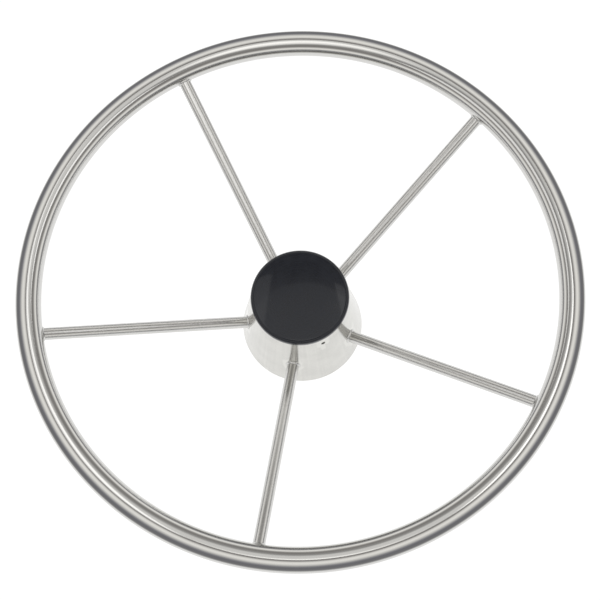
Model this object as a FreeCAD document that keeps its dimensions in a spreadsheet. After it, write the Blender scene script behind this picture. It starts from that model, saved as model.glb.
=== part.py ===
import FreeCAD, Part
import math
import os

import Sketcher

# A five-spoke stainless steel boat steering wheel with a conical hub and a push-in centre cap.
# Frame: millimetres, +Z along the wheel's axis towards the driver, origin at the centre of the hub's
# back plane, spoke_1 along -Y.

# alias, value, meaning. Lengths are in millimetres and angles in degrees.
SIZES = [
    ("rim_outer_diameter", 394.0, "across the outside of the rim"),
    ("rim_tube_diameter", 18.0, "outside of the rim's tube"),
    ("rim_tube_wall", 1.5, "wall of the rim's tube"),
    ("rim_plane_height", 78.0, "centre of the rim's tube above the hub's back plane"),
    ("spoke_count", 5, "number of spokes"),
    ("spoke_diameter", 8.5, "round bar of the spokes"),
    ("spoke_apex_height", 12.4, "where the spokes' axes meet the wheel's axis"),
    ("first_spoke_angle", 270, "direction of spoke_1 in plan"),
    ("rim_weld_leg", 1.1, "leg of the bead round a spoke at the rim"),
    ("hub_weld_leg", 1.3, "leg of the bead round a spoke at the shell"),
    ("boss_weld_leg", 2.4, "leg of the bead round a spoke at the boss"),
    ("weld_round_share", 0.6, "rounding of such a bead, as a share of its leg"),
    ("hub_height", 60.0, "height of the conical shell"),
    ("hub_base_radius", 43.4, "outside of the shell at the back"),
    ("hub_top_radius", 33.9, "outside of the shell at the front"),
    ("hub_wall", 2.0, "wall of the shell, measured square to the wheel's axis"),
    ("hub_edge_round", 0.6, "rounding of the shell's outer edges"),
    ("boss_radius", 17.0, "outside of the boss"),
    ("boss_back", 1.5, "height of the boss's and back plate's back faces"),
    ("boss_front", 32.0, "height of the boss's front face"),
    ("boss_edge_chamfer", 1.0, "chamfer round the boss's front face"),
    ("bore_diameter", 19.05, "large end of the tapered bore, 3/4 in"),
    ("taper_length", 25.4, "length of the taper, 1 in"),
    ("taper_per_length", 12, "the bore's diameter falls by one part in this many"),
    ("keyway_width", 4.76, "for a 3/16 in key"),
    ("keyway_depth", 2.0, "below the bore's wall at its large end"),
    ("plate_thickness", 3.0, "back plate"),
    ("ring_weld_leg", 2.5, "leg of the ring beads inside the hub"),
    ("seat_radius", 29.0, "bore of the ring that the cap pushes into"),
    ("seat_bottom", 49.0, "height of that ring's lower face"),
    ("seat_top", 58.0, "height of that ring's upper face"),
    ("seat_weld_leg", 2.0, "leg of the bead below that ring"),
    ("cap_radius", 34.6, "outside of the cap"),
    ("cap_side", 4.8, "height of the cap's side above the shell"),
    ("cap_rise", 2.4, "how far the cap's crown stands above its side"),
    ("cap_edge_round", 3.0, "rounding between the cap's side and its crown"),
    ("cap_foot_round", 0.6, "rounding at the foot of the cap's side"),
    ("cap_wall", 2.6, "wall of the cap's crown"),
    ("skirt_clearance", 0.05, "radial clearance between the cap's skirt and its seat"),
    ("skirt_wall", 2.4, "wall of the skirt"),
    ("skirt_length", 8.5, "how far the skirt reaches below the shell's front edge"),
    ("washer_radius", 15.0, "outside of the shaft washer"),
    ("washer_bore_radius", 8.73, "bore of the shaft washer"),
    ("washer_thickness", 2.5, "shaft washer"),
    ("nut_across_flats", 23.8, "15/16 in hexagon"),
    ("nut_hexagon_height", 9.7, "height of the nut's hexagon"),
    ("nut_height", 12.5, "height of the nut with its collar"),
    ("nut_collar_radius", 10.6, "outside of the nut's collar"),
    ("nut_thread_radius", 7.2, "crests of the nut's 5/8-18 thread"),
    ("nut_corner_chamfer", 1.0, "fall of the chamfer at the hexagon's corners"),
    ("lock_ring_radius", 9.0, "outside of the nylon locking ring"),
    ("lock_ring_bore_radius", 7.5, "bore of the nylon locking ring"),
    ("lock_ring_height", 2.5, "height of the nylon locking ring"),
    ("collar_lip", 0.5, "lip that holds the locking ring"),
    ("collar_lip_radius", 8.3, "bore of that lip"),
    ("screw_radius", 1.5, "M3 grub screw"),
    ("screw_hole_radius", 1.56, "hole for the grub screw"),
    ("screw_angle", 306, "direction of the grub screw in plan, midway between two spokes"),
    ("screw_height", 53.5, "height of the grub screw's axis"),
    ("screw_length", 5.0, "grub screw"),
    ("screw_tip_gap", 0.4, "between the grub screw's point and the cap's skirt"),
    ("screw_socket_across_flats", 1.5, "hexagon socket of the grub screw"),
    ("screw_socket_depth", 2.0, "depth of that socket"),
    ("screw_edge_chamfer", 0.4, "chamfer at both ends of the grub screw"),
]

# Lengths and angles worked out from the sheet, as expressions.
RIM_RING_RADIUS = "((Sizes.rim_outer_diameter - Sizes.rim_tube_diameter) / 2)"
RIM_TUBE_RADIUS = "(Sizes.rim_tube_diameter / 2)"
SPOKE_RADIUS = "(Sizes.spoke_diameter / 2)"
SPOKE_SLOPE = f"atan((Sizes.rim_plane_height - Sizes.spoke_apex_height) / {RIM_RING_RADIUS})"
RIM_DISTANCE = f"({RIM_RING_RADIUS} / cos({SPOKE_SLOPE}))"
BOSS_DISTANCE = f"(Sizes.boss_radius / cos({SPOKE_SLOPE}))"
PLATE_TOP = "(Sizes.boss_back + Sizes.plate_thickness)"
TAPER_TOP = "(Sizes.boss_back + Sizes.taper_length)"
BORE_RADIUS = "(Sizes.bore_diameter / 2)"
BORE_SMALL_RADIUS = f"({BORE_RADIUS} - Sizes.taper_length / Sizes.taper_per_length / 2)"
SKIRT_RADIUS = "(Sizes.seat_radius - Sizes.skirt_clearance)"
SKIRT_BORE = f"({SKIRT_RADIUS} - Sizes.skirt_wall)"
CAP_SHOULDER = "(Sizes.hub_height + Sizes.cap_side)"
CAP_CROWN = f"({CAP_SHOULDER} + Sizes.cap_rise)"
NUT_BACK = "(Sizes.boss_front + Sizes.washer_thickness)"


def shell_outside(height):
    """Expression for the shell's outside radius at a height."""
    fall = "(Sizes.hub_base_radius - Sizes.hub_top_radius) / Sizes.hub_height"
    return f"(Sizes.hub_base_radius - {fall} * ({height}))"


def shell_inside(height):
    """Expression for the shell's inside radius at a height."""
    return f"({shell_outside(height)} - Sizes.hub_wall)"


def make_sheet(document):
    """The spreadsheet that holds the driving sizes."""
    sheet = document.addObject("Spreadsheet::Sheet", "Sizes")
    for row, (alias, value, meaning) in enumerate(SIZES, start=1):
        sheet.set(f"A{row}", str(value))
        sheet.setAlias(f"A{row}", alias)
        sheet.set(f"B{row}", meaning)
    document.recompute()
    return sheet


def value_of(document, expression):
    """The number that an expression stands for at this moment."""
    result = document.Sizes.evalExpression(str(expression))
    return float(getattr(result, "Value", result))


def bind(target, **expressions):
    """Bind properties of an object to expressions."""
    for name, expression in expressions.items():
        target.setExpression(name, str(expression))
    return target


def primitive(document, kind, name, **expressions):
    """A Part primitive, such as Cylinder, with its properties bound to expressions."""
    return bind(document.addObject(f"Part::{kind}", name), **expressions)


def cut(document, label, base, tools):
    """The base less each tool in turn. The last cut carries the label."""
    for number, tool in enumerate(tools, start=1):
        name = label if number == len(tools) else f"{label}_cut_{number}"
        result = document.addObject("Part::Cut", name)
        result.Base = base
        result.Tool = tool
        base = result
    return base


def lifted(height):
    """Placement expression for a piece on the wheel's axis, raised to a height."""
    return f"placement(vector(0; 0; {height}); rotation(0; 0; 0))"


def along_spoke(number, distance):
    """Placement expression whose +Z runs out along a spoke's axis, from a distance along it."""
    angle = f"(Sizes.first_spoke_angle + 360 / Sizes.spoke_count * {number - 1})"
    frame = (
        f"placement(vector(0; 0; Sizes.spoke_apex_height); rotation({angle}; 90 deg - {SPOKE_SLOPE}; 0))"
    )
    return f"{frame} * placement(vector(0; 0; {distance}); rotation(0; 0; 0))"


def origin_feature(body, role):
    """One of the body's own origin planes or axes."""
    return next(item for item in body.Origin.OriginFeatures if item.Role == role)


def sketch_on(body, name, role):
    """An empty sketch on one of the body's own origin planes."""
    sketch = body.newObject("Sketcher::SketchObject", name)
    sketch.AttachmentSupport = (origin_feature(body, role), "")
    sketch.MapMode = "FlatFace"
    return sketch


def arc_about_axis(start, end):
    """The arc between two points, one of them on the sketch's vertical axis, centred on that axis.

    Returns the arc and whether it runs from start to end, because a sketch's arcs run anticlockwise.
    """
    crown, foot = (start, end) if start.x == 0 else (end, start)
    drop = crown.y - foot.y
    radius = (foot.x**2 + drop**2) / (2 * drop)
    centre = FreeCAD.Vector(0, crown.y - radius, 0)
    foot_angle = math.atan2(foot.y - centre.y, foot.x)
    circle = Part.Circle(centre, FreeCAD.Vector(0, 0, 1), radius)
    return Part.ArcOfCircle(circle, foot_angle, math.pi / 2), start is foot


def draw_profile(sketch, corners, crowns=()):
    """A closed outline through corners given as (across, up) expressions.

    The sides whose number is in crowns are arcs centred on the sketch's vertical axis. Each corner is
    dimensioned from the origin, or put on an axis where an expression is "0".
    """
    document = sketch.Document
    points = [
        FreeCAD.Vector(value_of(document, across), value_of(document, up), 0) for across, up in corners
    ]
    starts = []
    ends = []
    for side, start in enumerate(points):
        end = points[(side + 1) % len(points)]
        if side in crowns:
            shape, forward = arc_about_axis(start, end)
        else:
            shape, forward = Part.LineSegment(start, end), True
        curve = sketch.addGeometry(shape, False)
        starts.append((curve, 1 if forward else 2))
        ends.append((curve, 2 if forward else 1))
        if side in crowns:
            sketch.addConstraint(Sketcher.Constraint("PointOnObject", curve, 3, -2))
    for side, end in enumerate(ends):
        following = starts[(side + 1) % len(points)]
        sketch.addConstraint(Sketcher.Constraint("Coincident", *end, *following))
    for number, (across, up) in enumerate(corners):
        dimension(sketch, "DistanceX", starts[number], f"corner_{number}_across", across)
        dimension(sketch, "DistanceY", starts[number], f"corner_{number}_up", up)


def dimension(sketch, kind, point, name, expression):
    """Dimension a point from the origin, or put it on the axis where the expression is "0"."""
    if expression == "0":
        axis = -2 if kind == "DistanceX" else -1
        sketch.addConstraint(Sketcher.Constraint("PointOnObject", *point, axis))
        return
    size = value_of(sketch.Document, expression)
    index = sketch.addConstraint(Sketcher.Constraint(kind, -1, 1, *point, size))
    sketch.renameConstraint(index, name)
    sketch.setExpression(f"Constraints.{name}", expression)


def draw_circle(sketch, name, radius):
    """A circle about the sketch's origin."""
    size = value_of(sketch.Document, radius)
    circle = Part.Circle(FreeCAD.Vector(0, 0, 0), FreeCAD.Vector(0, 0, 1), size)
    curve = sketch.addGeometry(circle, False)
    sketch.addConstraint(Sketcher.Constraint("Coincident", curve, 3, -1, 1))
    index = sketch.addConstraint(Sketcher.Constraint("Radius", curve, size))
    sketch.renameConstraint(index, name)
    sketch.setExpression(f"Constraints.{name}", radius)


def draw_hexagon(sketch, name, across_flats):
    """A regular hexagon about the sketch's origin, with two flats square to the sketch's X axis."""
    document = sketch.Document
    half = value_of(document, across_flats) / 2
    angles = [math.radians(60 * corner - 30) for corner in range(6)]
    reach = half / math.cos(math.radians(30))
    points = [FreeCAD.Vector(reach * math.cos(a), reach * math.sin(a), 0) for a in angles]
    circle = Part.Circle(FreeCAD.Vector(0, 0, 0), FreeCAD.Vector(0, 0, 1), reach)
    guide = sketch.addGeometry(circle, True)
    sketch.addConstraint(Sketcher.Constraint("Coincident", guide, 3, -1, 1))
    sides = [sketch.addGeometry(Part.LineSegment(points[i], points[(i + 1) % 6]), False) for i in range(6)]
    for i, side in enumerate(sides):
        following = sides[(i + 1) % 6]
        sketch.addConstraint(Sketcher.Constraint("Coincident", side, 2, following, 1))
        sketch.addConstraint(Sketcher.Constraint("PointOnObject", side, 1, guide))
        if i:
            sketch.addConstraint(Sketcher.Constraint("Equal", sides[0], side))
    sketch.addConstraint(Sketcher.Constraint("Vertical", sides[0]))
    index = sketch.addConstraint(Sketcher.Constraint("DistanceX", -1, 1, sides[0], 1, half))
    sketch.renameConstraint(index, name)
    sketch.setExpression(f"Constraints.{name}", f"{across_flats} / 2")


def new_body(document, name):
    """An empty body."""
    return document.addObject("PartDesign::Body", name)


def revolve(body, name, corners, crowns=(), kind="Revolution"):
    """Turn a profile in the XZ plane about the body's Z axis, adding or (Groove) taking away."""
    sketch = sketch_on(body, f"{name}_profile", "XZ_Plane")
    draw_profile(sketch, corners, crowns)
    feature = body.newObject(f"PartDesign::{kind}", name)
    feature.Profile = sketch
    feature.ReferenceAxis = (sketch, ["V_Axis"])
    feature.Angle = 360
    body.Document.recompute()
    return feature


def circular_edges(document, feature, radius, height):
    """Names of a feature's circular edges with a radius, at a height."""
    size = value_of(document, radius)
    level = value_of(document, height)
    names = []
    for number, edge in enumerate(feature.Shape.Edges, start=1):
        if edge.Degenerated or not isinstance(edge.Curve, Part.Circle):
            continue
        circle = edge.Curve
        if math.isclose(circle.Radius, size, abs_tol=1e-4) and math.isclose(circle.Center.z, level, abs_tol=1e-4):
            names.append(f"Edge{number}")
    return names


def dress_edge(body, kind, name, radius, height, **expressions):
    """Fillet or chamfer the body's circular edge with a radius, at a height."""
    base = body.Tip
    names = circular_edges(body.Document, base, radius, height)
    feature = body.newObject(f"PartDesign::{kind}", name)
    feature.Base = (base, names)
    bind(feature, **expressions)
    body.Document.recompute()
    return feature


def ring(document, label, corners):
    """A ring turned from a profile about the wheel's axis."""
    body = new_body(document, label)
    revolve(body, f"{label}_turning", corners)
    return body


def make_rim_envelope(document, name="rim_envelope", margin="0"):
    """The space inside the rim tube's outer surface, grown by a margin. It ends the spokes."""
    return primitive(
        document, "Torus", name,
        Radius1=RIM_RING_RADIUS, Radius2=f"{RIM_TUBE_RADIUS} + {margin}",
        Placement=lifted("Sizes.rim_plane_height"),
    )


def make_boss_envelope(document, name="boss_envelope", margin="0"):
    """The boss's outside with no bore in it, grown sideways by a margin. It ends the spokes."""
    return primitive(
        document, "Cylinder", name,
        Radius=f"Sizes.boss_radius + {margin}", Height="Sizes.boss_front - Sizes.boss_back",
        Placement=lifted("Sizes.boss_back"),
    )


def make_shell_envelope(document, name="shell_envelope", margin="0"):
    """The solid cone inside the shell's outer surface, grown sideways by a margin."""
    return primitive(
        document, "Cone", name,
        Radius1=f"Sizes.hub_base_radius + {margin}", Radius2=f"Sizes.hub_top_radius + {margin}",
        Height="Sizes.hub_height",
    )


def make_rim_tube(document, rim_envelope):
    """The rim: a tube bent round into a ring."""
    bore = primitive(
        document, "Torus", "rim_tube_bore",
        Radius1=RIM_RING_RADIUS, Radius2=f"{RIM_TUBE_RADIUS} - Sizes.rim_tube_wall",
        Placement=lifted("Sizes.rim_plane_height"),
    )
    return cut(document, "rim_tube", rim_envelope, [bore])


def make_spoke_bar(document, number, name="spoke_bar", margin="0"):
    """A spoke's bar before its ends are coped: from inside the boss to the centre of the rim's tube."""
    start = f"({BOSS_DISTANCE} / 2)"
    return primitive(
        document, "Cylinder", f"{name}_{number}",
        Radius=f"{SPOKE_RADIUS} + {margin}", Height=f"{RIM_DISTANCE} - {start}",
        Placement=along_spoke(number, start),
    )


def corner_edges(shape, surroundings, clearance):
    """Numbers of the edges whose middle is further than a clearance from all the surroundings."""
    numbers = []
    for number, edge in enumerate(shape.Edges, start=1):
        middle = Part.Vertex(edge.valueAt((edge.FirstParameter + edge.LastParameter) / 2))
        if all(middle.distToShape(item.Shape)[0] > clearance for item in surroundings):
            numbers.append(number)
    return numbers


def make_bead(document, label, wide_bar, grown_envelope, surroundings, leg):
    """A bead round a spoke where it meets a surface, with its outer corner rounded.

    It fills the space within one leg of both the spoke and the surface, outside them both.
    """
    space = document.addObject("Part::Common", f"{label}_space")
    space.Base = wide_bar
    space.Tool = grown_envelope
    blank = cut(document, f"{label}_blank", space, surroundings)
    document.recompute()
    size = value_of(document, leg)
    rounding = size * value_of(document, "Sizes.weld_round_share")
    bead = document.addObject("Part::Fillet", label)
    bead.Base = blank
    bead.Edges = [(number, rounding, rounding) for number in corner_edges(blank.Shape, surroundings, size / 2)]
    return bead


def make_spoke_joints(document, bars, name, make_envelope, envelope):
    """The five beads between the spokes and one of the pieces that they are welded to."""
    leg = f"Sizes.{name}_leg"
    grown_envelope = make_envelope(document, f"{name}_envelope", leg)
    beads = []
    for number, bar in enumerate(bars, start=1):
        wide_bar = make_spoke_bar(document, number, f"{name}_bar", leg)
        beads.append(
            make_bead(document, f"{name}_{number}", wide_bar, grown_envelope, [bar, envelope], leg)
        )
    return beads


def make_spokes(document, bars, rim_envelope, boss_envelope, shell_envelope):
    """The spokes, coped at both ends, and their beads at the rim, at the shell and at the boss."""
    return [
        *[
            cut(document, f"spoke_{number}", bar, [rim_envelope, boss_envelope])
            for number, bar in enumerate(bars, start=1)
        ],
        *make_spoke_joints(document, bars, "rim_weld", make_rim_envelope, rim_envelope),
        *make_spoke_joints(document, bars, "hub_weld", make_shell_envelope, shell_envelope),
        *make_spoke_joints(document, bars, "boss_weld", make_boss_envelope, boss_envelope),
    ]


def screw_placement(distance):
    """Placement expression whose +Z runs out along the grub screw's axis, from a distance along it."""
    return (
        "placement(vector(0; 0; Sizes.screw_height); rotation(Sizes.screw_angle; 90; 0))"
        f" * placement(vector(0; 0; {distance}); rotation(0; 0; 0))"
    )


def make_screw_drill(document):
    """The hole for the grub screw, from inside the seat ring to outside the shell."""
    return primitive(
        document, "Cylinder", "screw_drill",
        Radius="Sizes.screw_hole_radius", Height="Sizes.hub_base_radius - Sizes.seat_radius / 2",
        Placement=screw_placement("Sizes.seat_radius / 2"),
    )


def make_hub_shell(document, bars, screw_drill):
    """The conical shell, with a hole for each spoke and one for the grub screw."""
    blank = new_body(document, "hub_shell_blank")
    corners = [
        ("Sizes.hub_base_radius", "0"),
        ("Sizes.hub_top_radius", "Sizes.hub_height"),
        (shell_inside("Sizes.hub_height"), "Sizes.hub_height"),
        (shell_inside("0"), "0"),
    ]
    revolve(blank, "shell_turning", corners)
    edges = [("back_edge", "Sizes.hub_base_radius", "0"), ("front_edge", "Sizes.hub_top_radius", "Sizes.hub_height")]
    for name, radius, height in edges:
        dress_edge(blank, "Fillet", name, radius, height, Radius="Sizes.hub_edge_round")
    return cut(document, "hub_shell", blank, [*bars, screw_drill])


def make_hub_boss(document):
    """The boss, with its tapered bore, the plain stretch in front of the taper, and its keyway."""
    body = new_body(document, "hub_boss")
    corners = [
        (BORE_RADIUS, "Sizes.boss_back"),
        ("Sizes.boss_radius", "Sizes.boss_back"),
        ("Sizes.boss_radius", "Sizes.boss_front"),
        (BORE_SMALL_RADIUS, "Sizes.boss_front"),
        (BORE_SMALL_RADIUS, TAPER_TOP),
    ]
    revolve(body, "boss_turning", corners)
    dress_edge(
        body, "Chamfer", "boss_front_chamfer", "Sizes.boss_radius", "Sizes.boss_front",
        Size="Sizes.boss_edge_chamfer",
    )
    half = "Sizes.keyway_width / 2"
    floor = f"{BORE_RADIUS} + Sizes.keyway_depth"
    sketch = sketch_on(body, "keyway_outline", "XY_Plane")
    draw_keyway(sketch, half, floor)
    pocket = body.newObject("PartDesign::Pocket", "keyway")
    pocket.Profile = sketch
    pocket.Type = "ThroughAll"
    pocket.Reversed = True
    document.recompute()
    return body


def draw_keyway(sketch, half, floor):
    """A rectangle from the sketch's X axis up to the keyway's floor, centred on the Y axis."""
    document = sketch.Document
    side = value_of(document, half)
    top = value_of(document, floor)
    corners = [(-side, 0), (side, 0), (side, top), (-side, top)]
    points = [FreeCAD.Vector(x, y, 0) for x, y in corners]
    lines = [sketch.addGeometry(Part.LineSegment(points[i], points[(i + 1) % 4]), False) for i in range(4)]
    for i, line in enumerate(lines):
        sketch.addConstraint(Sketcher.Constraint("Coincident", line, 2, lines[(i + 1) % 4], 1))
    sketch.addConstraint(Sketcher.Constraint("PointOnObject", lines[0], 1, -1))
    sketch.addConstraint(Sketcher.Constraint("Vertical", lines[1]))
    sketch.addConstraint(Sketcher.Constraint("Horizontal", lines[2]))
    sketch.addConstraint(Sketcher.Constraint("Vertical", lines[3]))
    sketch.addConstraint(Sketcher.Constraint("Symmetric", lines[0], 1, lines[0], 2, -1, 1))
    dimension(sketch, "DistanceX", (lines[0], 2), "keyway_half_width", half)
    dimension(sketch, "DistanceY", (lines[2], 1), "keyway_floor", floor)


def make_hub_inside(document):
    """The back plate, the seat ring's blank and the three ring beads inside the shell."""
    plate = [
        ("Sizes.boss_radius", "Sizes.boss_back"),
        (shell_inside("Sizes.boss_back"), "Sizes.boss_back"),
        (shell_inside(PLATE_TOP), PLATE_TOP),
        ("Sizes.boss_radius", PLATE_TOP),
    ]
    boss_bead = [
        ("Sizes.boss_radius", PLATE_TOP),
        ("Sizes.boss_radius + Sizes.ring_weld_leg", PLATE_TOP),
        ("Sizes.boss_radius", f"{PLATE_TOP} + Sizes.ring_weld_leg"),
    ]
    bead_top = f"{PLATE_TOP} + Sizes.ring_weld_leg"
    shell_bead = [
        (shell_inside(PLATE_TOP), PLATE_TOP),
        (shell_inside(bead_top), bead_top),
        (f"{shell_inside(PLATE_TOP)} - Sizes.ring_weld_leg", PLATE_TOP),
    ]
    bead_foot = "Sizes.seat_bottom - Sizes.seat_weld_leg"
    seat_bead = [
        (shell_inside("Sizes.seat_bottom"), "Sizes.seat_bottom"),
        (f"{shell_inside('Sizes.seat_bottom')} - Sizes.seat_weld_leg", "Sizes.seat_bottom"),
        (shell_inside(bead_foot), bead_foot),
    ]
    return [
        ring(document, "hub_back_plate", plate),
        ring(document, "boss_plate_weld", boss_bead),
        ring(document, "shell_plate_weld", shell_bead),
        ring(document, "seat_ring_weld", seat_bead),
    ]


def make_cap_seat_ring(document, screw_drill):
    """The ring inside the shell's mouth, drilled for the grub screw."""
    corners = [
        ("Sizes.seat_radius", "Sizes.seat_bottom"),
        (shell_inside("Sizes.seat_bottom"), "Sizes.seat_bottom"),
        (shell_inside("Sizes.seat_top"), "Sizes.seat_top"),
        ("Sizes.seat_radius", "Sizes.seat_top"),
    ]
    return cut(document, "cap_seat_ring", ring(document, "cap_seat_ring_blank", corners), [screw_drill])


def make_centre_cap(document):
    """The domed cap, with the skirt that pushes into the seat ring."""
    body = new_body(document, "centre_cap")
    skirt_foot = "Sizes.hub_height - Sizes.skirt_length"
    corners = [
        ("Sizes.cap_radius", "Sizes.hub_height"),
        ("Sizes.cap_radius", CAP_SHOULDER),
        ("0", CAP_CROWN),
        ("0", f"{CAP_CROWN} - Sizes.cap_wall"),
        (SKIRT_BORE, f"{CAP_SHOULDER} - Sizes.cap_wall / 2"),
        (SKIRT_BORE, skirt_foot),
        (SKIRT_RADIUS, skirt_foot),
        (SKIRT_RADIUS, "Sizes.hub_height"),
    ]
    revolve(body, "cap_turning", corners, crowns=(1, 3))
    dress_edge(
        body, "Fillet", "cap_shoulder_round", "Sizes.cap_radius", CAP_SHOULDER,
        Radius="Sizes.cap_edge_round",
    )
    dress_edge(
        body, "Fillet", "cap_foot_round", "Sizes.cap_radius", "Sizes.hub_height",
        Radius="Sizes.cap_foot_round",
    )
    return body


def make_shaft_washer(document):
    """The captive washer below the nut."""
    corners = [
        ("Sizes.washer_bore_radius", "Sizes.boss_front"),
        ("Sizes.washer_radius", "Sizes.boss_front"),
        ("Sizes.washer_radius", NUT_BACK),
        ("Sizes.washer_bore_radius", NUT_BACK),
    ]
    return ring(document, "shaft_washer", corners)


def make_shaft_nut(document):
    """The hexagon nut, with a collar in front that holds the locking ring."""
    body = new_body(document, "shaft_nut")
    bind(body, Placement=lifted(NUT_BACK))
    hexagon = sketch_on(body, "hexagon_outline", "XY_Plane")
    draw_hexagon(hexagon, "half_across_flats", "Sizes.nut_across_flats")
    pad = body.newObject("PartDesign::Pad", "hexagon")
    pad.Profile = hexagon
    bind(pad, Length="Sizes.nut_hexagon_height")
    circle = sketch_on(body, "collar_outline", "XY_Plane")
    draw_circle(circle, "collar_radius", "Sizes.nut_collar_radius")
    collar = body.newObject("PartDesign::Pad", "collar")
    collar.Profile = circle
    bind(collar, Length="Sizes.nut_height")
    document.recompute()
    corner = "(Sizes.nut_across_flats / 2 / cos(30))"
    beyond = f"{corner} + Sizes.nut_corner_chamfer"
    run = "(Sizes.nut_corner_chamfer * 2)"
    front = "Sizes.nut_hexagon_height"
    front_corner = [
        (f"{corner} - {run} / 2", front),
        (beyond, f"{front} - Sizes.nut_corner_chamfer"),
        (beyond, front),
    ]
    revolve(body, "front_corners", front_corner, kind="Groove")
    back_corner = [
        (f"{corner} - {run} / 2", "0"),
        (beyond, "0"),
        (beyond, "Sizes.nut_corner_chamfer"),
    ]
    revolve(body, "back_corners", back_corner, kind="Groove")
    ring_top = "Sizes.nut_height - Sizes.collar_lip"
    ring_bottom = f"{ring_top} - Sizes.lock_ring_height"
    bore = [
        ("0", "0"),
        ("Sizes.nut_thread_radius", "0"),
        ("Sizes.nut_thread_radius", ring_bottom),
        ("Sizes.lock_ring_radius", ring_bottom),
        ("Sizes.lock_ring_radius", ring_top),
        ("Sizes.collar_lip_radius", ring_top),
        ("Sizes.collar_lip_radius", "Sizes.nut_height"),
        ("0", "Sizes.nut_height"),
    ]
    revolve(body, "nut_bore", bore, kind="Groove")
    return body


def make_nut_lock_ring(document):
    """The nylon ring inside the nut's collar."""
    top = f"{NUT_BACK} + Sizes.nut_height - Sizes.collar_lip"
    bottom = f"{top} - Sizes.lock_ring_height"
    corners = [
        ("Sizes.lock_ring_bore_radius", bottom),
        ("Sizes.lock_ring_radius", bottom),
        ("Sizes.lock_ring_radius", top),
        ("Sizes.lock_ring_bore_radius", top),
    ]
    return ring(document, "nut_lock_ring", corners)


def make_cap_set_screw(document):
    """The grub screw, with a hexagon socket in its outer end."""
    body = new_body(document, "cap_set_screw")
    bind(body, Placement=screw_placement(f"({SKIRT_RADIUS} + Sizes.screw_tip_gap)"))
    chamfer = "Sizes.screw_edge_chamfer"
    corners = [
        ("0", "0"),
        (f"Sizes.screw_radius - {chamfer}", "0"),
        ("Sizes.screw_radius", chamfer),
        ("Sizes.screw_radius", f"Sizes.screw_length - {chamfer}"),
        (f"Sizes.screw_radius - {chamfer}", "Sizes.screw_length"),
        ("0", "Sizes.screw_length"),
    ]
    revolve(body, "screw_turning", corners)
    sketch = sketch_on(body, "socket_outline", "XY_Plane")
    sketch.setExpression("AttachmentOffset", "placement(vector(0; 0; Sizes.screw_length); rotation(0; 0; 0))")
    draw_hexagon(sketch, "half_across_flats", "Sizes.screw_socket_across_flats")
    socket = body.newObject("PartDesign::Pocket", "socket")
    socket.Profile = sketch
    bind(socket, Length="Sizes.screw_socket_depth")
    document.recompute()
    return body


def check_pieces(document, pieces):
    """Stop if any object failed to compute, or any piece isn't one valid solid."""
    for item in document.Objects:
        if {"Invalid", "Error"} & set(item.State):
            raise RuntimeError(f"{item.Label} failed: {item.State}")
    for piece in pieces:
        shape = piece.Shape
        if shape.isNull() or not shape.isValid() or len(shape.Solids) != 1:
            raise RuntimeError(f"{piece.Label} isn't one valid solid")


def check_cuts(pieces):
    """Stop if a pocket or groove took nothing away."""
    for piece in pieces:
        for feature in getattr(piece, "Group", []):
            if feature.TypeId in ("PartDesign::Pocket", "PartDesign::Groove"):
                if feature.Shape.Volume >= feature.BaseFeature.Shape.Volume:
                    raise RuntimeError(f"{feature.Label} cuts nothing")


def make_wheel(document):
    """Every piece of the wheel."""
    count = int(value_of(document, "Sizes.spoke_count"))
    rim_envelope = make_rim_envelope(document)
    boss_envelope = make_boss_envelope(document)
    shell_envelope = make_shell_envelope(document)
    bars = [make_spoke_bar(document, number) for number in range(1, count + 1)]
    screw_drill = make_screw_drill(document)
    return [
        make_rim_tube(document, rim_envelope),
        *make_spokes(document, bars, rim_envelope, boss_envelope, shell_envelope),
        make_hub_shell(document, bars, screw_drill),
        make_hub_boss(document),
        *make_hub_inside(document),
        make_cap_seat_ring(document, screw_drill),
        make_centre_cap(document),
        make_shaft_washer(document),
        make_shaft_nut(document),
        make_nut_lock_ring(document),
        make_cap_set_screw(document),
    ]


document = FreeCAD.newDocument("ship_steering_wheel")
make_sheet(document)
pieces = make_wheel(document)
document.recompute()
check_pieces(document, pieces)
check_cuts(pieces)
os.makedirs("parts", exist_ok=True)
for piece in pieces:
    piece.Shape.exportStep(f"parts/{piece.Label}.step")
    print(f"{piece.Label}: {piece.Shape.Volume:.1f} mm3")
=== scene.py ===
"""Looks for a five-spoke stainless steel steering wheel with a black centre cap.

Lengths are in metres. +Z is the wheel's axis towards the driver, and z = 0 is the back of its hub.
"""

from math import atan, atan2, cos, pi, radians, sin, sqrt, tan

import bmesh
import bpy
import numpy as np
from mathutils import Matrix, Vector


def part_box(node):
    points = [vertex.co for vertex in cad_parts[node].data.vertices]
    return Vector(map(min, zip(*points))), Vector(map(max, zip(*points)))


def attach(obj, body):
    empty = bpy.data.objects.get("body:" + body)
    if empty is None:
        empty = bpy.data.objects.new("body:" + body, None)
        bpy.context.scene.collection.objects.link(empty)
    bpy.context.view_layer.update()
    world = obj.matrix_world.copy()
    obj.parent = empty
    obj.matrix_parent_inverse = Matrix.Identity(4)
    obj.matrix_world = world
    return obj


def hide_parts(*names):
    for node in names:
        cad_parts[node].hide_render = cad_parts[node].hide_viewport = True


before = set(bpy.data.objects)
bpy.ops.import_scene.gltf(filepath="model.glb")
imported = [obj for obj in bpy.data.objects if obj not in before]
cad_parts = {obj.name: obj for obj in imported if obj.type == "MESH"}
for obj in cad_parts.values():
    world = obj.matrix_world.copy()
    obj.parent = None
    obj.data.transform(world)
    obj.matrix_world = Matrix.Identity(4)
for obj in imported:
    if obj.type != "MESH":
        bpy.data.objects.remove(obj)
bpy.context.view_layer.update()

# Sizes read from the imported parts.
rim_low, rim_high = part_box("rim_tube")
RIM_TUBE_RADIUS = (rim_high.z - rim_low.z) / 2
RIM_HEIGHT = (rim_high.z + rim_low.z) / 2
RIM_RING_RADIUS = rim_high.x - RIM_TUBE_RADIUS
HUB_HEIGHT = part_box("hub_shell")[1].z
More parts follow.
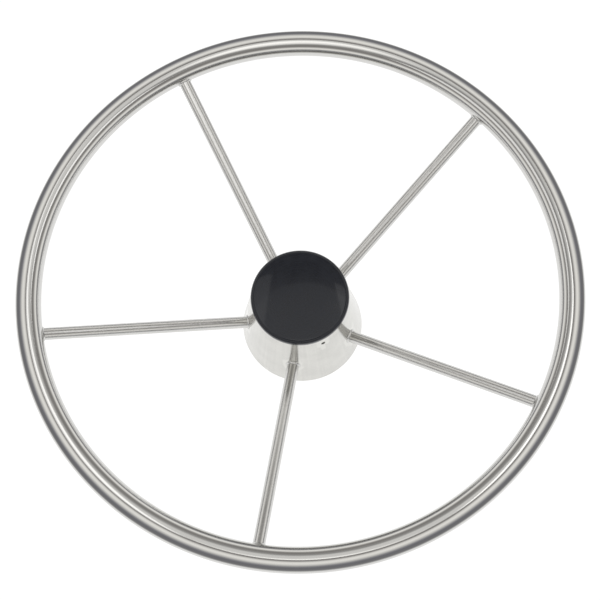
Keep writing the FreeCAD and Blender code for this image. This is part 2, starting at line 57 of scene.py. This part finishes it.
HUB_BASE_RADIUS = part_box("hub_shell")[1].x
CAP_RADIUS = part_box("centre_cap")[1].x
CAP_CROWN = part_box("centre_cap")[1].z
CAP_SKIRT_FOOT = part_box("centre_cap")[0].z
BOSS_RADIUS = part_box("hub_boss")[1].x
SPOKE_RADIUS = (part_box("spoke_1")[1].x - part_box("spoke_1")[0].x) / 2

# Sizes of the same parts that a box doesn't give.
HUB_TOP_RADIUS = 0.0339
SPOKE_APEX_HEIGHT = 0.0124
SPOKE_AZIMUTHS = [radians(270 + 72 * number) for number in range(5)]
RIM_WELD_LEG = 0.0011
HUB_WELD_LEG = 0.0013
CAP_SHOULDER = CAP_CROWN - 0.0024
CAP_EDGE_ROUND = 0.003
CAP_FOOT_ROUND = 0.0006
CAP_WALL = 0.0026
SKIRT_RADIUS = 0.02895
SKIRT_WALL = 0.0024
SKIRT_FOOT_ROUND = 0.0004
SKIRT_CORNER_ROUND = 0.0002

SPOKE_SLOPE = atan((RIM_HEIGHT - SPOKE_APEX_HEIGHT) / RIM_RING_RADIUS)
HUB_LEAN = atan((HUB_BASE_RADIUS - HUB_TOP_RADIUS) / HUB_HEIGHT)


# ---------------------------------------------------------------- mesh making


def add_mesh(name, points, faces, normals=None):
    """A smooth mesh object; normals, one for each point, override the computed ones."""
    mesh = bpy.data.meshes.new(name)
    mesh.from_pydata([tuple(point) for point in points], [], faces)
    shape = bmesh.new()
    shape.from_mesh(mesh)
    bmesh.ops.recalc_face_normals(shape, faces=shape.faces)
    shape.to_mesh(mesh)
    shape.free()
    mesh.polygons.foreach_set("use_smooth", [True] * len(mesh.polygons))
    if normals is not None:
        mesh.normals_split_custom_set_from_vertices([tuple(normal) for normal in normals])
    piece = bpy.data.objects.new(name, mesh)
    bpy.context.scene.collection.objects.link(piece)
    return piece


def grid_faces(rows, columns, close_rows=False):
    """Quads between rows of points; each row closes on itself, and the last row may join the first."""
    faces = []
    for row in range(rows if close_rows else rows - 1):
        upper = (row + 1) % rows
        for column in range(columns):
            right = (column + 1) % columns
            faces.append((
                row * columns + column,
                row * columns + right,
                upper * columns + right,
                upper * columns + column,
            ))
    return faces


def arc(centre, radius, start, end, steps):
    """Points on an arc, angles in radians."""
    angles = np.linspace(start, end, steps + 1)
    return [(centre[0] + radius * cos(a), centre[1] + radius * sin(a)) for a in angles]


def rounded(corners, steps=6):
    """An outline from (radius, height, rounding) corners, with an arc at each rounded corner."""
    outline = []
    count = len(corners)
    for index, (x, y, rounding) in enumerate(corners):
        corner = Vector((x, y))
        if not rounding:
            outline.append((x, y))
            continue
        before = (Vector(corners[index - 1][:2]) - corner).normalized()
        after = (Vector(corners[(index + 1) % count][:2]) - corner).normalized()
        half_turn = before.angle(after) / 2
        centre = corner + (before + after).normalized() * rounding / sin(half_turn)
        first = corner + before * rounding / tan(half_turn) - centre
        last = corner + after * rounding / tan(half_turn) - centre
        start = atan2(first.y, first.x)
        sweep = (atan2(last.y, last.x) - start + pi) % (2 * pi) - pi
        outline += arc(centre, rounding, start, start + sweep, steps)
    return outline


def outline_normals(outline):
    """A normal for each point of a closed outline; long sides count for more than short ones."""
    points = np.array(outline)
    sides = np.roll(points, -1, axis=0) - points
    across = np.stack([sides[:, 1], -sides[:, 0]], axis=1)
    normals = across + np.roll(across, 1, axis=0)
    return normals / np.linalg.norm(normals, axis=1)[:, None]


def turned(name, outline, steps):
    """An outline, anticlockwise in (radius, height), turned about the wheel's axis.

    It closes on itself, or starts and ends on the axis.
    """
    normals = outline_normals(outline)
    poles = outline[0][0] == 0
    if poles:
        first, *outline, last = outline
        normals = normals[1:-1]
    points, directions = [], []
    for angle in np.linspace(0, 2 * pi, steps, endpoint=False):
        for (radius, height), (outwards, upwards) in zip(outline, normals):
            points.append((radius * cos(angle), radius * sin(angle), height))
            directions.append((outwards * cos(angle), outwards * sin(angle), upwards))
    count = len(outline)
    faces = grid_faces(steps, count, close_rows=True)
    if poles:
        faces = [face for face in faces if face[1] % count != 0]
        for step in range(steps):
            after = (step + 1) % steps
            faces.append((len(points), step * count, after * count))
            faces.append((len(points) + 1, after * count + count - 1, step * count + count - 1))
        points += [(0, 0, first[1]), (0, 0, last[1])]
        directions += [(0, 0, -1), (0, 0, 1)]
    return add_mesh(name, points, faces, directions)


# ------------------------------------------------- surfaces that spokes end on


def rim_surface(points):
    """Distance outside the rim's tube."""
    ring = np.hypot(points[..., 0], points[..., 1]) - RIM_RING_RADIUS
    return np.hypot(ring, points[..., 2] - RIM_HEIGHT) - RIM_TUBE_RADIUS


def hub_surface(points):
    """Distance outside the hub's cone."""
    radius = np.hypot(points[..., 0], points[..., 1])
    return (radius - HUB_BASE_RADIUS) * cos(HUB_LEAN) + points[..., 2] * sin(HUB_LEAN)


def boss_surface(points):
    """Distance outside the boss."""
    return np.hypot(points[..., 0], points[..., 1]) - BOSS_RADIUS


def bar_point(angle, distance, radius):
    """A point on a bar along the spoke that points along +X."""
    across = radius * np.sin(angle)
    above = radius * np.cos(angle)
    x = distance * cos(SPOKE_SLOPE) - above * sin(SPOKE_SLOPE)
    z = SPOKE_APEX_HEIGHT + distance * sin(SPOKE_SLOPE) + above * cos(SPOKE_SLOPE)
    return np.stack([x, across, z], axis=-1)


HALVINGS = 50


def bar_end(surface, angle, radius, start, end):
    """How far along the spoke a line on the bar crosses a surface, by halving."""
    near = np.full_like(angle, start)
    far = np.full_like(angle, end)
    began_outside = surface(bar_point(angle, near, radius)) > 0
    for _ in range(HALVINGS):
        middle = (near + far) / 2
        before = (surface(bar_point(angle, middle, radius)) > 0) == began_outside
        near = np.where(before, middle, near)
        far = np.where(before, far, middle)
    return far


def slope_of(surface, points):
    """The direction in which a surface's distance grows fastest."""
    step = 1e-6
    parts = [surface(points + step * axis) - surface(points - step * axis) for axis in np.eye(3)]
    gradient = np.stack(parts, axis=-1)
    return gradient / np.linalg.norm(gradient, axis=-1)[..., None]


# Stretches of a spoke, from the apex, that hold one crossing each: boss, shell and rim.
BOSS_STRETCH = (0.25 * BOSS_RADIUS, 1.5 * BOSS_RADIUS)
HUB_STRETCH = (1.5 * BOSS_RADIUS, 1.5 * HUB_BASE_RADIUS)
RIM_STRETCH = (0.5 * RIM_RING_RADIUS, RIM_RING_RADIUS / cos(SPOKE_SLOPE))


# ------------------------------------------------------------------- the parts


def dress(piece, body, material, slot, *nodes):
    """Rides a piece on a body in place of CAD nodes, with its material. The slot is not used."""
    piece.data.materials.append(material)
    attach(piece, body)
    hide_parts(*nodes)
    return piece


def make_rim():
    """The rim's tube."""
    outline = arc((RIM_RING_RADIUS, RIM_HEIGHT), RIM_TUBE_RADIUS, 0, 2 * pi, steps=128)[:-1]
    return turned("rim", outline, steps=720)


def make_spoke(name):
    """A spoke's round bar along +X, coped to the boss and to the rim."""
    around, along = 72, 60
    angle = np.linspace(0, 2 * pi, around, endpoint=False)
    inner = bar_end(boss_surface, angle, SPOKE_RADIUS, *BOSS_STRETCH)
    outer = bar_end(rim_surface, angle, SPOKE_RADIUS, *RIM_STRETCH)
    rows = [bar_point(angle, inner + (outer - inner) * share, SPOKE_RADIUS)
            for share in np.linspace(0, 1, along)]
    outwards = bar_point(angle, 0 * angle, 1.0) - bar_point(angle, 0 * angle, 0.0)
    centre = np.zeros(1)
    first_end = bar_point(centre, bar_end(boss_surface, centre, 0.0, *BOSS_STRETCH), 0.0)
    last_end = bar_point(centre, bar_end(rim_surface, centre, 0.0, *RIM_STRETCH), 0.0)
    axis = np.array([[cos(SPOKE_SLOPE), 0, sin(SPOKE_SLOPE)]])
    points = np.concatenate([*rows, first_end, last_end])
    normals = np.concatenate([np.tile(outwards, (along, 1)), -axis, axis])
    faces = grid_faces(along, around)
    last_row = (along - 1) * around
    for column in range(around):
        right = (column + 1) % around
        faces.append((along * around, right, column))
        faces.append((along * around + 1, last_row + column, last_row + right))
    return add_mesh(name, points, faces, normals)


# Ripples and lumps round a weld bead, its mean size and its buried depth as shares of its leg, and the
# power that shapes its face: 1 is round and 2 is flat.
RIPPLES = 34
LUMPS = 5
BEAD_MEAN = 0.92
BEAD_BURIED = 0.12
BEAD_FACE = 1.6


def make_weld_bead(name, surface, stretch, leg, ripple):
    """A bead round a spoke that points along +X, where it meets a surface.

    Uneven ripples and a few larger lumps run round it. Its face is a little fuller than flat.
    """
    around, across = 180, 10
    angle = np.linspace(0, 2 * pi, around, endpoint=False)
    wave = np.sin(angle * RIPPLES + 1.3 * np.sin(angle * 3)) + 0.6 * np.sin(angle * LUMPS + 1)
    size = leg * (BEAD_MEAN + ripple * wave)[:, None]
    root = bar_point(angle, bar_end(surface, angle, SPOKE_RADIUS, *stretch), SPOKE_RADIUS)
    up = slope_of(surface, root)
    outwards = bar_point(angle, 0 * angle, 1.0) - bar_point(angle, 0 * angle, 0.0)
    axis = np.array([cos(SPOKE_SLOPE), 0, sin(SPOKE_SLOPE)])
    along_bar = axis if up[0] @ axis > 0 else -axis
    along_surface = outwards - (outwards * up).sum(axis=1)[:, None] * up
    along_surface /= np.linalg.norm(along_surface, axis=1)[:, None]
    buried = BEAD_BURIED * leg
    rows = [root - buried * (outwards + up)]
    for share in np.linspace(0, 1, across):
        on_bar = cos(share * pi / 2) ** BEAD_FACE
        on_surface = abs(sin(share * pi / 2)) ** BEAD_FACE
        rows.append(root + size * (on_bar * along_bar + on_surface * along_surface))
    return add_mesh(name, np.concatenate(rows), grid_faces(len(rows), around, close_rows=True))


def make_cap():
    """The domed cap with its skirt, turned."""
    rise = CAP_CROWN - CAP_SHOULDER
    dome_radius = (CAP_RADIUS ** 2 + rise ** 2) / (2 * rise)
    dome_centre = CAP_CROWN - dome_radius
    bore = SKIRT_RADIUS - SKIRT_WALL

    def dome(radius, below):
        """The height, at a radius, of a dome that runs below the crown."""
        return dome_centre + sqrt((dome_radius - below) ** 2 - radius ** 2)

    # The edge round touches the side, and the crown from inside.
    edge_x = CAP_RADIUS - CAP_EDGE_ROUND
    edge_z = dome_centre + sqrt((dome_radius - CAP_EDGE_ROUND) ** 2 - edge_x ** 2)
    lean = atan2(edge_x, edge_z - dome_centre)
    outside = arc((edge_x, edge_z), CAP_EDGE_ROUND, 0, pi / 2 - lean, steps=14)
    outside += arc((0, dome_centre), dome_radius, pi / 2 - lean, pi / 2, steps=40)[1:-1]
    inside = [(radius, dome(radius, CAP_WALL)) for radius in np.linspace(0, bore, 24)]
    skirt = [
        (bore, CAP_SKIRT_FOOT, SKIRT_FOOT_ROUND),
        (SKIRT_RADIUS, CAP_SKIRT_FOOT, SKIRT_FOOT_ROUND),
        (SKIRT_RADIUS, HUB_HEIGHT, SKIRT_CORNER_ROUND),
        (CAP_RADIUS, HUB_HEIGHT, CAP_FOOT_ROUND),
    ]
    path = [(*point, 0) for point in inside] + skirt
    path += [(*point, 0) for point in outside] + [(0, CAP_CROWN, 0)]
    return turned("cap", rounded(path), steps=384)


# ------------------------------------------------------------------- materials


# The radius at which directions about the wheel's axis are turned into lengths, for the grain.
GRAIN_RADIUS = 0.03


class Nodes:
    """A material's node tree, with short calls for the nodes used here."""

    def __init__(self, name, colour, metallic):
        self.material = bpy.data.materials.new(name)
        self.material.use_nodes = True
        self.tree = self.material.node_tree
        self.shader = self.tree.nodes["Principled BSDF"]
        self.shader.inputs["Metallic"].default_value = metallic
        self.colour = colour
        place = self.tree.nodes.new("ShaderNodeTexCoord").outputs["Object"]
        axes = self.tree.nodes.new("ShaderNodeSeparateXYZ")
        self.link(place, axes.inputs[0])
        self.x, self.y, self.z = axes.outputs

    def link(self, source, target):
        self.tree.links.new(source, target)

    def put(self, value, socket):
        """Link a socket to a value, or set it where the value is a plain number."""
        if isinstance(value, bpy.types.NodeSocket):
            self.link(value, socket)
        else:
            socket.default_value = value

    def maths(self, operation, first, second=0.0):
        node = self.tree.nodes.new("ShaderNodeMath")
        node.operation = operation
        self.put(first, node.inputs[0])
        self.put(second, node.inputs[1])
        return node.outputs[0]

    def grain(self, run, fine, along):
        """Four noise coordinates that vary finely across a direction and slowly along it.

        run is round (about the wheel's axis), down (along the hub's cone), bar (along a spoke) or even.
        """
        if run == "bar":
            level = self.maths("SUBTRACT", self.z, self.maths("MULTIPLY", self.x, tan(SPOKE_SLOPE)))
            parts = ((self.x, along), (self.y, fine), (level, fine), (self.x, along))
        elif run == "even":
            parts = ((self.x, fine), (self.y, fine), (self.z, fine), (self.z, along))
        else:
            squares = self.maths("ADD", self.maths("POWER", self.x, 2), self.maths("POWER", self.y, 2))
            reach = self.maths("SQRT", squares)
            east = self.maths("DIVIDE", self.x, reach)
            north = self.maths("DIVIDE", self.y, reach)
            if run == "round":
                turn = along * GRAIN_RADIUS
                parts = ((reach, fine), (self.z, fine), (east, turn), (north, turn))
            else:
                turn = fine * GRAIN_RADIUS
                parts = ((east, turn), (north, turn), (self.z, along), (self.z, along))
        return [self.maths("MULTIPLY", part, scale) for part, scale in parts]

    def noise(self, coordinates, detail=3.0, roughness=0.55):
        node = self.tree.nodes.new("ShaderNodeTexNoise")
        node.noise_dimensions = "4D"
        place = self.tree.nodes.new("ShaderNodeCombineXYZ")
        for part, socket in zip(coordinates, place.inputs):
            self.put(part, socket)
        self.link(place.outputs[0], node.inputs["Vector"])
        self.put(coordinates[3], node.inputs["W"])
        node.inputs["Scale"].default_value = 1.0
        node.inputs["Detail"].default_value = detail
        node.inputs["Roughness"].default_value = roughness
        return node.outputs[0]

    def between(self, factor, low, high, start=0.3, end=0.7):
        """Map a factor from start..end to low..high."""
        node = self.tree.nodes.new("ShaderNodeMapRange")
        self.put(factor, node.inputs["Value"])
        for value, name in ((start, "From Min"), (end, "From Max"), (low, "To Min"), (high, "To Max")):
            node.inputs[name].default_value = value
        return node.outputs[0]

    def edges(self, width=0.06):
        """1 on outside edges and 0 elsewhere."""
        node = self.tree.nodes.new("ShaderNodeNewGeometry")
        return self.between(node.outputs["Pointiness"], 0.0, 1.0, 0.5 + width / 2, 0.5 + width)

    def tint(self, factor, amount):
        """The base colour, darker by an amount where the factor is 0."""
        node = self.tree.nodes.new("ShaderNodeMix")
        node.data_type = "RGBA"
        self.put(factor, node.inputs["Factor"])
        node.inputs["A"].default_value = (*(part * (1 - amount) for part in self.colour), 1)
        node.inputs["B"].default_value = (*self.colour, 1)
        return node.outputs["Result"]

    def bump(self, height, depth):
        """A normal for a surface that rises and falls by a depth."""
        node = self.tree.nodes.new("ShaderNodeBump")
        node.inputs["Distance"].default_value = depth
        self.link(height, node.inputs["Height"])
        return node.outputs[0]

    def finish(self, colour, roughness, normal):
        self.link(colour, self.shader.inputs["Base Color"])
        self.link(roughness, self.shader.inputs["Roughness"])
        self.link(normal, self.shader.inputs["Normal"])
        return self.material


# How much smoother a worn edge is, as a share of the roughness.
EDGE_POLISH = 0.4


def steel(name, colour, roughness, run, fine, along, groove, spread, mottle=0.06):
    """Stainless steel with polishing or turning lines that run one way.

    fine and along are lines per metre across and along the run, and groove is their depth. spread is how
    much the roughness varies, and mottle how much darker the duller places are.
    """
    made = Nodes(name, colour, metallic=1.0)
    lines = made.noise(made.grain(run, fine, along))
    cloud = made.noise(made.grain("even", fine=60, along=60), detail=2.0)
    worn = made.edges()
    smear = made.maths("ADD", made.maths("MULTIPLY", lines, 0.5), made.maths("MULTIPLY", cloud, 0.5))
    rough = made.between(smear, roughness * (1 - spread), roughness * (1 + spread))
    rough = made.maths("SUBTRACT", rough, made.maths("MULTIPLY", worn, roughness * EDGE_POLISH))
    colour = made.tint(made.maths("MAXIMUM", made.between(smear, 0, 1), worn), mottle)
    return made.finish(colour, rough, made.bump(lines, groove))


def plastic(name, colour, roughness, coat, pits):
    """Moulded plastic with a faint orange peel, pits deep, and fine scuffs."""
    made = Nodes(name, colour, metallic=0.0)
    peel = made.noise(made.grain("even", fine=900, along=900), detail=1.0)
    scuffs = made.noise(made.grain("round", fine=5000, along=40), detail=2.0)
    cloud = made.noise(made.grain("even", fine=90, along=90), detail=3.0)
    rubbed = made.maths("MULTIPLY", scuffs, cloud)
    rough = made.between(rubbed, roughness * 0.7, roughness * 1.6, start=0.15, end=0.4)
    made.shader.inputs["Coat Weight"].default_value = coat
    made.shader.inputs["Coat Roughness"].default_value = 0.06
    made.shader.inputs["Specular IOR Level"].default_value = 0.3
    worn = made.edges()
    colour = made.tint(made.maths("MAXIMUM", made.between(cloud, 0, 1), worn), amount=0.25)
    return made.finish(colour, rough, made.bump(peel, pits))


BRIGHT_STEEL = (0.66, 0.655, 0.64)
GREY_STEEL = (0.56, 0.555, 0.54)
rim_steel = steel("rim_steel", BRIGHT_STEEL, roughness=0.1,
                  run="round", fine=9000, along=60, groove=1e-7, spread=0.4)
spoke_steel = steel("spoke_steel", BRIGHT_STEEL, roughness=0.24,
                    run="bar", fine=9000, along=60, groove=5e-8, spread=0.3)
hub_steel = steel("hub_steel", (0.68, 0.675, 0.645), roughness=0.18,
                  run="down", fine=450, along=5, groove=1e-6, spread=0.35, mottle=0.16)
weld_steel = steel("weld_steel", BRIGHT_STEEL, roughness=0.2,
                   run="even", fine=2500, along=2500, groove=4e-6, spread=0.3, mottle=0.12)
inner_steel = steel("inner_steel", GREY_STEEL, roughness=0.3,
                    run="round", fine=5000, along=20, groove=4e-6, spread=0.3, mottle=0.1)
inner_weld_steel = steel("inner_weld_steel", (0.5, 0.48, 0.45), roughness=0.34,
                         run="even", fine=1500, along=1500, groove=3e-5, spread=0.3, mottle=0.3)
fastener_steel = steel("fastener_steel", (0.6, 0.59, 0.57), roughness=0.2,
                       run="round", fine=6000, along=20, groove=2e-6, spread=0.3, mottle=0.1)
screw_steel = steel("screw_steel", (0.3, 0.3, 0.3), roughness=0.28,
                    run="even", fine=4000, along=4000, groove=2e-6, spread=0.3, mottle=0.15)
cap_plastic = plastic("cap_plastic", (0.004, 0.0065, 0.014), roughness=0.3, coat=0.45, pits=6e-7)
nylon = plastic("nylon", (0.62, 0.65, 0.68), roughness=0.38, coat=0.0, pits=6e-6)


# ------------------------------------------------------------ putting together

dress(make_rim(), "wheel", rim_steel, "rim_steel", "rim_tube")
dress(make_cap(), "cap", cap_plastic, "cap_plastic", "centre_cap")
for number, azimuth in enumerate(SPOKE_AZIMUTHS, start=1):
    pieces = (
        (make_spoke(f"spoke_bar_{number}"), spoke_steel, "spoke_steel", f"spoke_{number}"),
        (make_weld_bead(f"rim_bead_{number}", rim_surface, RIM_STRETCH, RIM_WELD_LEG, ripple=0.015),
         weld_steel, "weld_steel", f"rim_weld_{number}"),
        (make_weld_bead(f"hub_bead_{number}", hub_surface, HUB_STRETCH, HUB_WELD_LEG, ripple=0.02),
         weld_steel, "weld_steel", f"hub_weld_{number}"),
    )
    for piece, material, slot, node in pieces:
        piece.rotation_euler.z = azimuth
        dress(piece, "wheel", material, slot, node)

CAD_FINISHES = {
    "hub_shell": hub_steel,
    "hub_boss": inner_steel,
    "hub_back_plate": inner_steel,
    "boss_plate_weld": inner_weld_steel,
    "shell_plate_weld": inner_weld_steel,
    "seat_ring_weld": inner_weld_steel,
    "cap_seat_ring": inner_steel,
    "shaft_washer": fastener_steel,
    "shaft_nut": fastener_steel,
    "nut_lock_ring": nylon,
    "cap_set_screw": screw_steel,
}
CAD_FINISHES.update({f"boss_weld_{number}": inner_weld_steel for number in range(1, 6)})
for node, material in CAD_FINISHES.items():
    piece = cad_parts[node]
    piece.data.materials.clear()
    piece.data.materials.append(material)


# ---------------------------------------------------------------------- studio


STAGE_SIDES = 96
FLOOR_RADIUS = 3.0
FLOOR_HEIGHT = -0.0004
FLOOR_GREY = 0.2
FLOOR_GLOW = 0.93
SHEET_HEIGHT = -0.0001

# A soft screen stands round the wheel, bright and dark by turns from its foot to its top, as the sides of
# a light tent and the flags in it are: height, red, green and blue.
SCREEN_RADIUS = 0.3
SCREEN_TOP = 0.75
SCREEN_BANDS = (
    (0.0, 0.9, 0.9, 0.9),
    (0.03, 0.44, 0.44, 0.44),
    (0.05, 0.24, 0.24, 0.25),
    (0.1, 0.21, 0.21, 0.23),
    (0.125, 0.34, 0.34, 0.36),
    (0.16, 0.8, 0.79, 0.77),
    (0.2, 1.1, 1.09, 1.05),
    (0.26, 1.05, 1.03, 1.0),
    (0.34, 0.6, 0.59, 0.57),
    (0.42, 0.3, 0.29, 0.28),
    (0.62, 0.3, 0.29, 0.28),
    (SCREEN_TOP, 0.45, 0.44, 0.43),
)

# Soft panels of light: degrees round the wheel from +X and above its plane, distance from the hub's back,
# width, height and power.
PANELS = (
    (182, 60, 0.57, 0.5, 0.3, 0.35),
    (20, 64, 0.68, 0.5, 0.25, 0.4),
)

# The room above the screen lights the wheel and shows in its steel, but the camera sees a plain backdrop.
# Its patches of light: degrees round the wheel from +X and above its plane, half-width in radians, and how
# much brighter they are.
ROOM_GLOW = 0.3
ROOM_COLOUR = (1, 0.99, 0.97)
ROOM_PATCHES = (
    (50, 84, 0.42, 0.55),
    (275, 73, 0.26, 0.7),
)
BACKDROP_GREY = 0.95

# The camera: degrees round the wheel from -Y towards +X, above its plane, and of roll.
CAMERA_AZIMUTH = 13.93
CAMERA_ELEVATION = 71.71
CAMERA_ROLL = 5.57
CAMERA_DISTANCE = 1.291
CAMERA_AIM = (0.00163, -0.00703, RIM_HEIGHT)
CAMERA_LENS = 112.2
CAMERA_SENSOR = 36


def circle(radius, height):
    """Points on a level circle about the wheel's axis."""
    angles = np.linspace(0, 2 * pi, STAGE_SIDES, endpoint=False)
    return [(radius * cos(a), radius * sin(a), height) for a in angles]


def flat_disc(name, radius, height):
    """A flat disc across the wheel's axis."""
    disc = add_mesh(name, circle(radius, height), [tuple(range(STAGE_SIDES))])
    return disc


def make_floor():
    """A white floor, lit from below like a light table, so that hardly a shadow shows on it.

    Only the sheet under the wheel is mirrored in the steel: the floor round it is there to look at.
    """
    material = bpy.data.materials.new("floor")
    material.use_nodes = True
    shader = material.node_tree.nodes["Principled BSDF"]
    shader.inputs["Base Color"].default_value = (FLOOR_GREY, FLOOR_GREY, FLOOR_GREY, 1)
    shader.inputs["Roughness"].default_value = 0.9
    shader.inputs["Specular IOR Level"].default_value = 0.1
    shader.inputs["Emission Color"].default_value = (1, 1, 1, 1)
    shader.inputs["Emission Strength"].default_value = FLOOR_GLOW
    sheet = flat_disc("sheet", SCREEN_RADIUS, SHEET_HEIGHT)
    floor = flat_disc("floor", FLOOR_RADIUS, FLOOR_HEIGHT)
    floor.visible_glossy = False
    for disc in (sheet, floor):
        disc.data.materials.append(material)


def patch_sum(tree, place, glow, patches):
    """A glow with round soft patches that are brighter or darker: a centre, a radius and a change each."""
    total = glow
    for centre, radius, change in patches:
        gap = tree.nodes.new("ShaderNodeVectorMath")
        gap.operation = "DISTANCE"
        gap.inputs[1].default_value = centre
        tree.links.new(place, gap.inputs[0])
        patch = tree.nodes.new("ShaderNodeMapRange")
        patch.interpolation_type = "SMOOTHSTEP"
        tree.links.new(gap.outputs["Value"], patch.inputs["Value"])
        patch.inputs["From Min"].default_value = 0.6 * radius
        patch.inputs["From Max"].default_value = 1.4 * radius
        patch.inputs["To Min"].default_value = change
        patch.inputs["To Max"].default_value = 0
        add = tree.nodes.new("ShaderNodeMath")
        tree.links.new(patch.outputs[0], add.inputs[0])
        if isinstance(total, bpy.types.NodeSocket):
            tree.links.new(total, add.inputs[1])
        else:
            add.inputs[1].default_value = total
        total = add.outputs[0]
    return total


def towards(azimuth, elevation):
    """The unit vector in a direction given in degrees."""
    turn, rise = radians(azimuth), radians(elevation)
    return Vector((cos(turn) * cos(rise), sin(turn) * cos(rise), sin(rise)))


def screen_colours(tree, height):
    """Colours that follow the height, in bands from the foot of the screen to its top."""
    place = tree.nodes.new("ShaderNodeMapRange")
    place.inputs["From Max"].default_value = SCREEN_TOP
    tree.links.new(height, place.inputs["Value"])
    ramp = tree.nodes.new("ShaderNodeValToRGB")
    tree.links.new(place.outputs[0], ramp.inputs[0])
    stops = ramp.color_ramp.elements
    (_, *first), *middle, (_, *last) = SCREEN_BANDS
    stops[0].color = (*first, 1)
    stops[-1].color = (*last, 1)
    for level, *colour in middle:
        stops.new(level / SCREEN_TOP).color = (*colour, 1)
    return ramp.outputs[0]


def make_screen():
    """The screen of light round the wheel, open at the top, which the camera doesn't see."""
    points = circle(SCREEN_RADIUS, 0.0) + circle(SCREEN_RADIUS, SCREEN_TOP)
    screen = add_mesh("screen", points, grid_faces(2, STAGE_SIDES))
    screen.visible_camera = False
    material = bpy.data.materials.new("screen")
    material.use_nodes = True
    tree = material.node_tree
    tree.nodes.remove(tree.nodes["Principled BSDF"])
    glow = tree.nodes.new("ShaderNodeEmission")
    tree.links.new(glow.outputs[0], tree.nodes["Material Output"].inputs["Surface"])
    place = tree.nodes.new("ShaderNodeTexCoord").outputs["Object"]
    split = tree.nodes.new("ShaderNodeSeparateXYZ")
    tree.links.new(place, split.inputs[0])
    tree.links.new(screen_colours(tree, split.outputs["Z"]), glow.inputs["Color"])
    screen.data.materials.append(material)


def make_lights():
    """Soft panels of light that face the hub."""
    for number, (azimuth, elevation, distance, width, height, power) in enumerate(PANELS, start=1):
        lamp = bpy.data.lights.new(f"panel_{number}", "AREA")
        lamp.shape = "RECTANGLE"
        lamp.size = width
        lamp.size_y = height
        lamp.energy = power
        light = bpy.data.objects.new(f"panel_{number}", lamp)
        away = towards(azimuth, elevation)
        place = Matrix.Translation(away * distance)
        light.matrix_world = place @ away.to_track_quat("Z", "Y").to_matrix().to_4x4()
        bpy.context.scene.collection.objects.link(light)
        light.visible_camera = False


def make_world():
    """Pale to look at; what the steel mirrors is a grey room with bright patches."""
    world = bpy.data.worlds.new("studio")
    bpy.context.scene.world = world
    world.use_nodes = True
    tree = world.node_tree
    seen = tree.nodes["Background"]
    seen.inputs["Color"].default_value = (BACKDROP_GREY, BACKDROP_GREY, BACKDROP_GREY, 1)
    seen.inputs["Strength"].default_value = 1.0
    mirrored = tree.nodes.new("ShaderNodeBackground")
    place = tree.nodes.new("ShaderNodeTexCoord").outputs["Generated"]
    patches = [(towards(azimuth, elevation), radius, change)
               for azimuth, elevation, radius, change in ROOM_PATCHES]
    tree.links.new(patch_sum(tree, place, ROOM_GLOW, patches), mirrored.inputs["Strength"])
    mirrored.inputs["Color"].default_value = (*ROOM_COLOUR, 1)
    mix = tree.nodes.new("ShaderNodeMixShader")
    path = tree.nodes.new("ShaderNodeLightPath")
    tree.links.new(path.outputs["Is Camera Ray"], mix.inputs[0])
    tree.links.new(mirrored.outputs[0], mix.inputs[1])
    tree.links.new(seen.outputs[0], mix.inputs[2])
    tree.links.new(mix.outputs[0], tree.nodes["World Output"].inputs["Surface"])


def make_camera():
    """The camera, orbiting a point near the centre of the rim's plane."""
    azimuth, elevation, roll = radians(CAMERA_AZIMUTH), radians(CAMERA_ELEVATION), radians(CAMERA_ROLL)
    back = Vector((sin(azimuth) * cos(elevation), -cos(azimuth) * cos(elevation), sin(elevation)))
    camera = bpy.data.objects.new("camera", bpy.data.cameras.new("camera"))
    camera.data.lens = CAMERA_LENS
    camera.data.sensor_width = CAMERA_SENSOR
    turn = Matrix.Rotation(azimuth, 4, "Z") @ Matrix.Rotation(pi / 2 - elevation, 4, "X")
    place = Matrix.Translation(Vector(CAMERA_AIM) + CAMERA_DISTANCE * back)
    camera.matrix_world = place @ turn @ Matrix.Rotation(-roll, 4, "Z")
    bpy.context.scene.collection.objects.link(camera)
    bpy.context.scene.camera = camera


make_floor()
make_screen()
make_lights()
make_world()
make_camera()
bpy.context.scene.view_settings.view_transform = "Standard"
